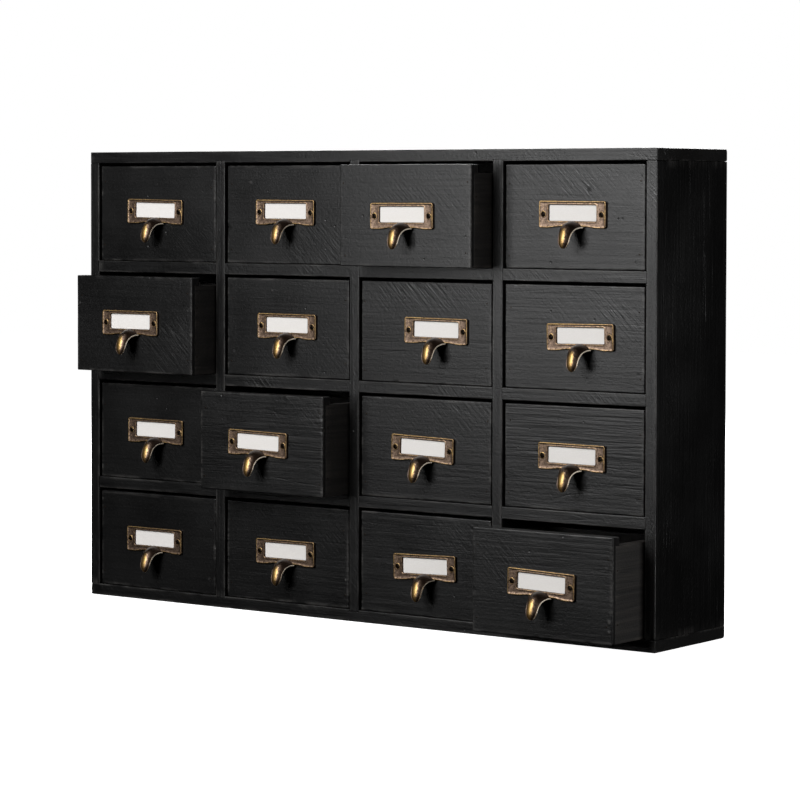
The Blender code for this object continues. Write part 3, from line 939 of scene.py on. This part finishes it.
def tongue_section(share):
    """One section of the tongue: its arched outer face, a beaded edge, and back along its inner face."""
    across = 18
    angle = 0.04 + share * (math.pi / 2 - 0.05)
    centre = tongue_centre(angle)
    along = (tongue_centre(angle + 0.01) - tongue_centre(angle - 0.01)).normalized()
    outward = Vector((0, along.z, -along.y))
    half = tongue_width(share)
    fullness = min(1.0, half / TONGUE_HALF_WIDTH)
    crown = (TIP_CROWN + (NECK_CROWN - TIP_CROWN) * (1.0 - share) ** 1.2) * fullness
    radius = TONGUE_BEAD * fullness
    flat = half - radius
    outer, inner = [], []
    for index in range(across + 1):
        s = -1.0 + 2.0 * index / across
        place = centre + Vector((flat * s, 0, 0)) + outward * crown * (1.0 - s * s)
        outer.append((place + outward * radius * 0.7, tongue_rub_and_painted_light(s, share)))
        inner.append((place - outward * radius * 0.7, 0.0))
    beads = []
    # The right bead gets a painted highlight, the left one painted shade
    for side, shine in ((1, EDGE_BEAD_HIGHLIGHT), (-1, EDGE_BEAD_SHADE)):
        rim = centre + Vector((side * flat, 0, 0))
        beads.append([(point, shine) for point in tongue_bead(side, rim, outward, radius)])
    return outer + beads[0] + inner[::-1] + beads[1]


def add_tongue(bm, wear_and_painted_light):
    steps = 44
    rings = []
    for step in range(steps + 1):
        share = 0.995 * (1.0 - (1.0 - step / steps) ** 1.25)
        section = tongue_section(share)
        rings.append(([point for point, rub_and_light in section], [rub_and_light for point, rub_and_light in section]))
    add_capped(bm, wear_and_painted_light, rings)


def pull_mesh():
    """The plate, bored for its screws, with their seats and the tongue."""
    bm = bmesh.new()
    wear_and_painted_light = bm.verts.layers.float.new("wear_and_painted_light")
    rings = [([(x, -level, z) for x, z in loop], rub_and_light) for loop, level, rub_and_light in plate_rings()]
    add_rings(bm, wear_and_painted_light, rings, closed=True)
    bmesh.ops.recalc_face_normals(bm, faces=bm.faces)
    plate = mesh_object("plate", bm, PULL_SHARP)
    bores = bmesh.new()
    wear_and_painted_light = bores.verts.layers.float.new("wear_and_painted_light")
    profile = [(BORE_RADIUS, FIELD_LEVEL * 0.25, -0.6), (BORE_RADIUS, FIELD_LEVEL * 1.5, -0.6)]
    for side in (-1, 1):
        add_capped(bores, wear_and_painted_light, turned_rings(side * SCREW_X, profile))
    bmesh.ops.recalc_face_normals(bores, faces=bores.faces)
    cut_away(plate, bores)
    bm = bmesh.new()
    bm.from_mesh(plate.data)
    bpy.data.objects.remove(plate)
    wear_and_painted_light = bm.verts.layers.float["wear_and_painted_light"]
    add_screw_seats(bm, wear_and_painted_light)
    add_tongue(bm, wear_and_painted_light)
    bmesh.ops.recalc_face_normals(bm, faces=bm.faces)
    return shared_mesh(mesh_object("label_pull", bm, PULL_SHARP), brass)


def shared_mesh(obj, material):
    """The mesh of an object made only to build it."""
    mesh = obj.data
    mesh.materials.clear()
    mesh.materials.append(material)
    bpy.data.objects.remove(obj)
    return mesh


def cut_away(obj, shape):
    """Takes a closed bmesh out of an object."""
    cutter = mesh_object("cutter", shape, PLAIN_SHARP)
    boolean = obj.modifiers.new("cut", "BOOLEAN")
    boolean.operation = "DIFFERENCE"
    boolean.solver = "EXACT"
    boolean.object = cutter
    graph = bpy.context.evaluated_depsgraph_get()
    cut = bpy.data.meshes.new_from_object(obj.evaluated_get(graph))
    obj.modifiers.clear()
    obj.data = cut
    bpy.data.objects.remove(cutter)


def boxes(corners):
    """A bmesh of separate boxes, each from its lowest corner to its highest."""
    bm = bmesh.new()
    for low, high in corners:
        low, high = Vector(low), Vector(high)
        shape = Matrix.Translation((low + high) / 2) @ Matrix.Diagonal((*(high - low), 1.0))
        bmesh.ops.create_cube(bm, size=1.0, matrix=shape)
    return bm


def screw_mesh():
    """Both screws of a label holder: low domed heads with a cross recess."""
    bm = bmesh.new()
    wear_and_painted_light = bm.verts.layers.float.new("wear_and_painted_light")
    f = FIELD_LEVEL
    profile = [
        (0.00190, f * 0.30, 0.0),
        (0.00190, f * 0.58, 0.0),
        (0.00175, f * 0.68, 0.0),
        (0.00130, f * 0.80, 0.0),
        (0.00080, f * 0.86, 0.0),
        (0.00030, f * 0.88, 0.0),
    ]
    for side in (-1, 1):
        add_capped(bm, wear_and_painted_light, turned_rings(side * SCREW_X, profile))
    bmesh.ops.recalc_face_normals(bm, faces=bm.faces)
    obj = mesh_object("screws", bm, SMALL_SHARP)
    arm, reach, floor = CROSS_HALF_WIDTH, CROSS_REACH, -f * 0.42
    for half_x, half_z in ((reach, arm), (arm, reach)):
        bars = []
        for x in (-SCREW_X, SCREW_X):
            bars.append(((x - half_x, -f * 2, -half_z), (x + half_x, floor, half_z)))
        cut_away(obj, boxes(bars))
    obj.data.shade_smooth()
    obj.data.set_sharp_from_angle(angle=math.radians(SMALL_SHARP))
    return shared_mesh(obj, steel)


def card_mesh():
    """A thin card behind the window, a little bowed."""
    width, height = WINDOW_WIDTH + CARD_WIDER, WINDOW_HEIGHT + CARD_TALLER
    low = np.array((-width / 2, -CARD_LEVEL, WINDOW_RISE - height / 2))
    high = np.array((width / 2, -CARD_LEVEL + CARD_THICKNESS, WINDOW_RISE + height / 2))
    points, quads = grid_block(low, high, CARD_EDGE, CARD_CELLS, [])
    chooser = np.random.default_rng(5)
    bow = CARD_BOW * (1.0 - (2 * points[:, 0] / width) ** 2)
    points[:, 1] -= bow + CARD_RIPPLE * field(points[:, 0], points[:, 2], 0.006, 0.005, chooser)
    mesh = bpy.data.meshes.new("card")
    mesh.from_pydata(points.tolist(), [], quads.tolist())
    return shared_mesh(smooth_object("card", mesh, SMALL_SHARP), card_paper)


def nail_mesh(radius=NAIL_RADIUS, sides=12):
    """A brad's small flat head, facing -Y and standing just off the surface."""
    bm = bmesh.new()
    wear_and_painted_light = bm.verts.layers.float.new("wear_and_painted_light")
    profile = [
        (radius, -0.0006, 0.0),
        (radius, 0.00004, 0.0),
        (radius * 0.8, 0.00009, 0.0),
        (radius * 0.3, 0.00006, 0.0),
    ]
    add_capped(bm, wear_and_painted_light, turned_rings(0.0, profile, sides))
    bmesh.ops.recalc_face_normals(bm, faces=bm.faces)
    return bm


def nails_object(name, places):
    """Nail heads at (place, turn about Z) as one piece."""
    bm = bmesh.new()
    for place, turn in places:
        head = nail_mesh()
        moved = Matrix.Translation(place) @ Matrix.Rotation(turn, 4, "Z")
        bmesh.ops.transform(head, matrix=moved, verts=head.verts)
        scratch = bpy.data.meshes.new("nail")
        head.to_mesh(scratch)
        head.free()
        bm.from_mesh(scratch)
        bpy.data.meshes.remove(scratch)
    return mesh_object(name, bm, SMALL_SHARP)


def make_nails(tag, seed):
    """Brads through the front's ends into the walls, and through the walls into the front."""
    chooser = random.Random(seed)
    low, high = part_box(f"drawer_front_{tag}")
    tray_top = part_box(f"drawer_tray_{tag}")[1].z
    places = []
    for side, x, face_x in ((-1, low.x + NAIL_INSET, low.x), (1, high.x - NAIL_INSET, high.x)):
        for share in (0.14, 0.80):
            z = low.z + (high.z - low.z) * (share + chooser.uniform(-0.04, 0.04))
            places.append((Vector((x + chooser.uniform(-0.0012, 0.0012), low.y, z)), 0.0))
        for share in (0.2, 0.75):
            z = low.z + (tray_top - low.z) * share
            places.append((Vector((face_x, low.y + NAIL_BEHIND, z)), side * math.pi / 2))
    obj = nails_object(f"nails_{tag}", places)
    finish_piece(obj, f"drawer_{tag}", [steel])


def make_drawer_hardware(tag, meshes, chooser):
    low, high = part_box(f"label_pull_{tag}")
    front_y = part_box(f"drawer_front_{tag}")[0].y
    centre = Vector(((low.x + high.x) / 2, front_y, high.z - PLATE_HEIGHT / 2))
    tilt = HOLDER_TILT.get(tag, chooser.uniform(-0.4, 0.4))
    for kind, slot_name in (("pull", "antique_brass"), ("screws", "dark_steel"), ("card", "label_card")):
        obj = bpy.data.objects.new(f"{kind}_{tag}", meshes[kind])
        bpy.context.scene.collection.objects.link(obj)
        obj.location = centre
        obj.rotation_euler.y = -math.radians(tilt)
        if kind == "pull":
            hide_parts(f"label_pull_{tag}")
        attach(obj, f"drawer_{tag}")


def make_drawers():
    meshes = {"pull": pull_mesh(), "screws": screw_mesh(), "card": card_mesh()}
    chooser = random.Random(7)
    for row in range(1, ROWS + 1):
        for column in range(1, COLUMNS + 1):
            tag = f"r{row}c{column}"
            seed = 100 + 10 * row + column
            make_front(tag, seed)
            make_tray(tag, seed * 5)
            make_nails(tag, seed)
            make_drawer_hardware(tag, meshes, chooser)


# ---------------------------------------------------------------- stage, lights and camera


def make_floor():
    bm = bmesh.new()
    bmesh.ops.create_grid(bm, x_segments=1, y_segments=1, size=4.0)
    floor = mesh_object("floor", bm, PLAIN_SHARP)
    floor.location.z = -0.0005
    floor.data.materials.append(floor_paint())
    floor.visible_diffuse = False
    floor.visible_glossy = False


def make_world():
    """White to the camera and black to the object, so that only the lights reach it."""
    world = bpy.data.worlds.new("studio")
    bpy.context.scene.world = world
    world.use_nodes = True
    tree = world.node_tree
    background = tree.nodes["Background"]
    path = tree.nodes.new("ShaderNodeLightPath")
    mix = tree.nodes.new("ShaderNodeMix")
    mix.data_type = "RGBA"
    mix.inputs[6].default_value = (0.0, 0.0, 0.0, 1.0)
    mix.inputs[7].default_value = (1.0, 1.0, 1.0, 1.0)
    tree.links.new(path.outputs["Is Camera Ray"], mix.inputs[0])
    tree.links.new(mix.outputs[2], background.inputs["Color"])


LIGHT_TARGET = Vector((0.0, -0.054, 0.2))

# Each light's azimuth from straight in front (positive to the right) and its elevation, in degrees, its
# distance and size in metres, and its power in watts
LIGHTS = {
    "key_low": (-21.0, 5.0, 1.1, (0.38, 0.38), 1.62),
    "key_high": (-21.0, 20.0, 1.1, (0.38, 0.38), 0.66),
    "top_left": (-22.0, 46.0, 2.0, (0.55, 0.55), 9.0),
    "front_fill": (-8.0, 26.0, 2.0, (0.60, 0.60), 28.0),
    "edge_right": (62.0, 8.0, 1.3, (0.25, 0.35), 1.5),
    "side_fill": (97.0, -2.0, 1.1, (0.50, 0.50), 3.0),
    "back_soft": (208.0, 28.0, 2.2, (1.20, 1.20), 60.0),
}


def make_lights():
    for name, (azimuth, elevation, distance, size, power) in LIGHTS.items():
        data = bpy.data.lights.new(name, "AREA")
        data.shape = "RECTANGLE"
        data.size, data.size_y = size
        data.energy = power
        light = bpy.data.objects.new(name, data)
        turn, rise = math.radians(azimuth), math.radians(elevation)
        level = Vector((math.sin(turn), -math.cos(turn), 0.0)) * math.cos(rise)
        light.location = LIGHT_TARGET + (level + Vector((0.0, 0.0, math.sin(rise)))) * distance
        light.rotation_euler = (LIGHT_TARGET - light.location).to_track_quat("-Z", "Y").to_euler()
        light.visible_camera = False
        bpy.context.scene.collection.objects.link(light)


def make_camera():
    data = bpy.data.cameras.new("camera")
    data.sensor_width = SENSOR
    data.lens = CAMERA_LENS
    data.shift_y = CAMERA_SHIFT_Y
    camera = bpy.data.objects.new("camera", data)
    camera.location = CAMERA_PLACE
    turns = (90 + CAMERA_PITCH, CAMERA_ROLL, CAMERA_AZIMUTH)
    camera.rotation_euler = [math.radians(turn) for turn in turns]
    bpy.context.scene.collection.objects.link(camera)
    bpy.context.scene.camera = camera


make_case()
make_drawers()
make_floor()
make_world()
make_lights()
make_camera()
bpy.context.scene.view_settings.view_transform = "Standard"
